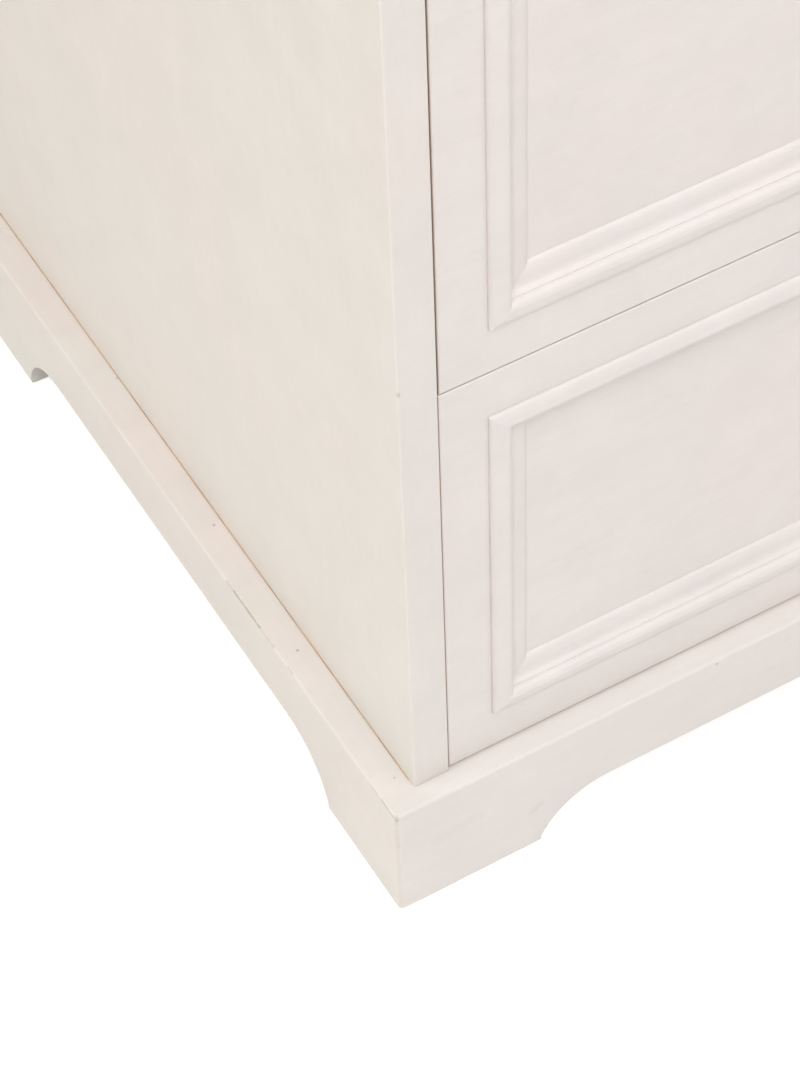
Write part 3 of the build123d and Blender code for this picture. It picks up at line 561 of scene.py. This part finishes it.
# ---- Floor, light and camera ---------------------------------------------------------------------
# A pale floor that the camera sees evenly lit, a warm fill from all round, two wide soft lights
# in front and one at the left. The camera stands at eye height and looks down on the corner.
EYE = Vector((-1.0152, -1.1890, 1.5947))
RIGHT = Vector((0.8645, -0.5017, -0.0290))
DOWN = Vector((-0.4025, -0.6566, -0.6379))
AHEAD = Vector((0.3010, 0.5631, -0.7696))
LENS = 113.8
SENSOR = 36.0
FLOOR_REACH = 12.0
FLOOR_LEVEL = -0.0005
FLOOR_GLOW = 0.55
FILL_COLOUR = (1.0, 0.878, 0.759, 1.0)
FILL_STRENGTH = 0.31
BACKDROP = (0.84, 0.81, 0.78, 1.0)

floor_mesh = bpy.data.meshes.new("floor")
floor_corners = [(FLOOR_REACH * x, FLOOR_REACH * y, FLOOR_LEVEL)
                 for x, y in ((-1, -1), (1, -1), (1, 1), (-1, 1))]
floor_mesh.from_pydata(floor_corners, [], [(0, 1, 2, 3)])
floor = bpy.data.objects.new("floor", floor_mesh)
bpy.context.scene.collection.objects.link(floor)
floor_material, floor_tree, floor_shader = new_material("pale floor", Roughness=0.9)
floor_shader.inputs["Base Color"].default_value = (0.93, 0.925, 0.92, 1.0)
floor_shader.inputs["Emission Color"].default_value = (1.0, 1.0, 1.0, 1.0)
seen = add(floor_tree, "ShaderNodeLightPath", (-600, -300))
glow = maths(floor_tree, "MULTIPLY", seen.outputs["Is Camera Ray"], FLOOR_GLOW, (-300, -300))
floor_tree.links.new(glow, floor_shader.inputs["Emission Strength"])
floor_mesh.materials.append(floor_material)

world = bpy.data.worlds.new("studio")
bpy.context.scene.world = world
world.use_nodes = True
sky = world.node_tree
fill = sky.nodes["Background"]
fill.inputs["Color"].default_value = FILL_COLOUR
fill.inputs["Strength"].default_value = FILL_STRENGTH
backdrop = add(sky, "ShaderNodeBackground", (0, -200), Color=BACKDROP, Strength=1.0)
seen = add(sky, "ShaderNodeLightPath", (0, 500))
either = add(sky, "ShaderNodeMixShader", (300, 200))
sky.links.new(seen.outputs["Is Camera Ray"], either.inputs["Fac"])
sky.links.new(fill.outputs[0], either.inputs[1])
sky.links.new(backdrop.outputs[0], either.inputs[2])
sky.links.new(either.outputs[0], sky.nodes["World Output"].inputs["Surface"])


def soft_light(name, place, target, size, power, colour):
    """A wide lamp at a place, turned to a target."""
    light = bpy.data.lights.new(name, "AREA")
    light.shape = "RECTANGLE"
    light.size, light.size_y = size
    light.energy = power
    light.color = colour
    lamp = bpy.data.objects.new(name, light)
    lamp.location = place
    lamp.rotation_euler = (Vector(target) - Vector(place)).to_track_quat("-Z", "Y").to_euler()
    bpy.context.scene.collection.objects.link(lamp)


soft_light("key left", (-1.6, -2.6, 4.2), (0, 0, 0.4), (2.6, 3.0), 138.0, (0.933, 0.956, 1.0))
soft_light("key right", (1.6, -2.8, 4.2), (0, 0, 0.4), (3.4, 3.0), 67.5, (0.911, 0.973, 1.0))
soft_light("side", (-4.2, 0.8, 2.3), (-0.5, 0, 0.5), (2.6, 2.6), 68.0, (0.955, 1.0, 0.924))

camera = bpy.data.cameras.new("camera")
camera.lens = LENS
camera.sensor_width = SENSOR
camera.clip_start = 0.05
camera.clip_end = 100.0
view = bpy.data.objects.new("camera", camera)
turn = Matrix((RIGHT, -DOWN, -AHEAD)).transposed().to_4x4()
view.matrix_world = Matrix.Translation(EYE) @ turn
bpy.context.scene.collection.objects.link(view)
bpy.context.scene.camera = view
bpy.context.scene.view_settings.view_transform = "Standard"
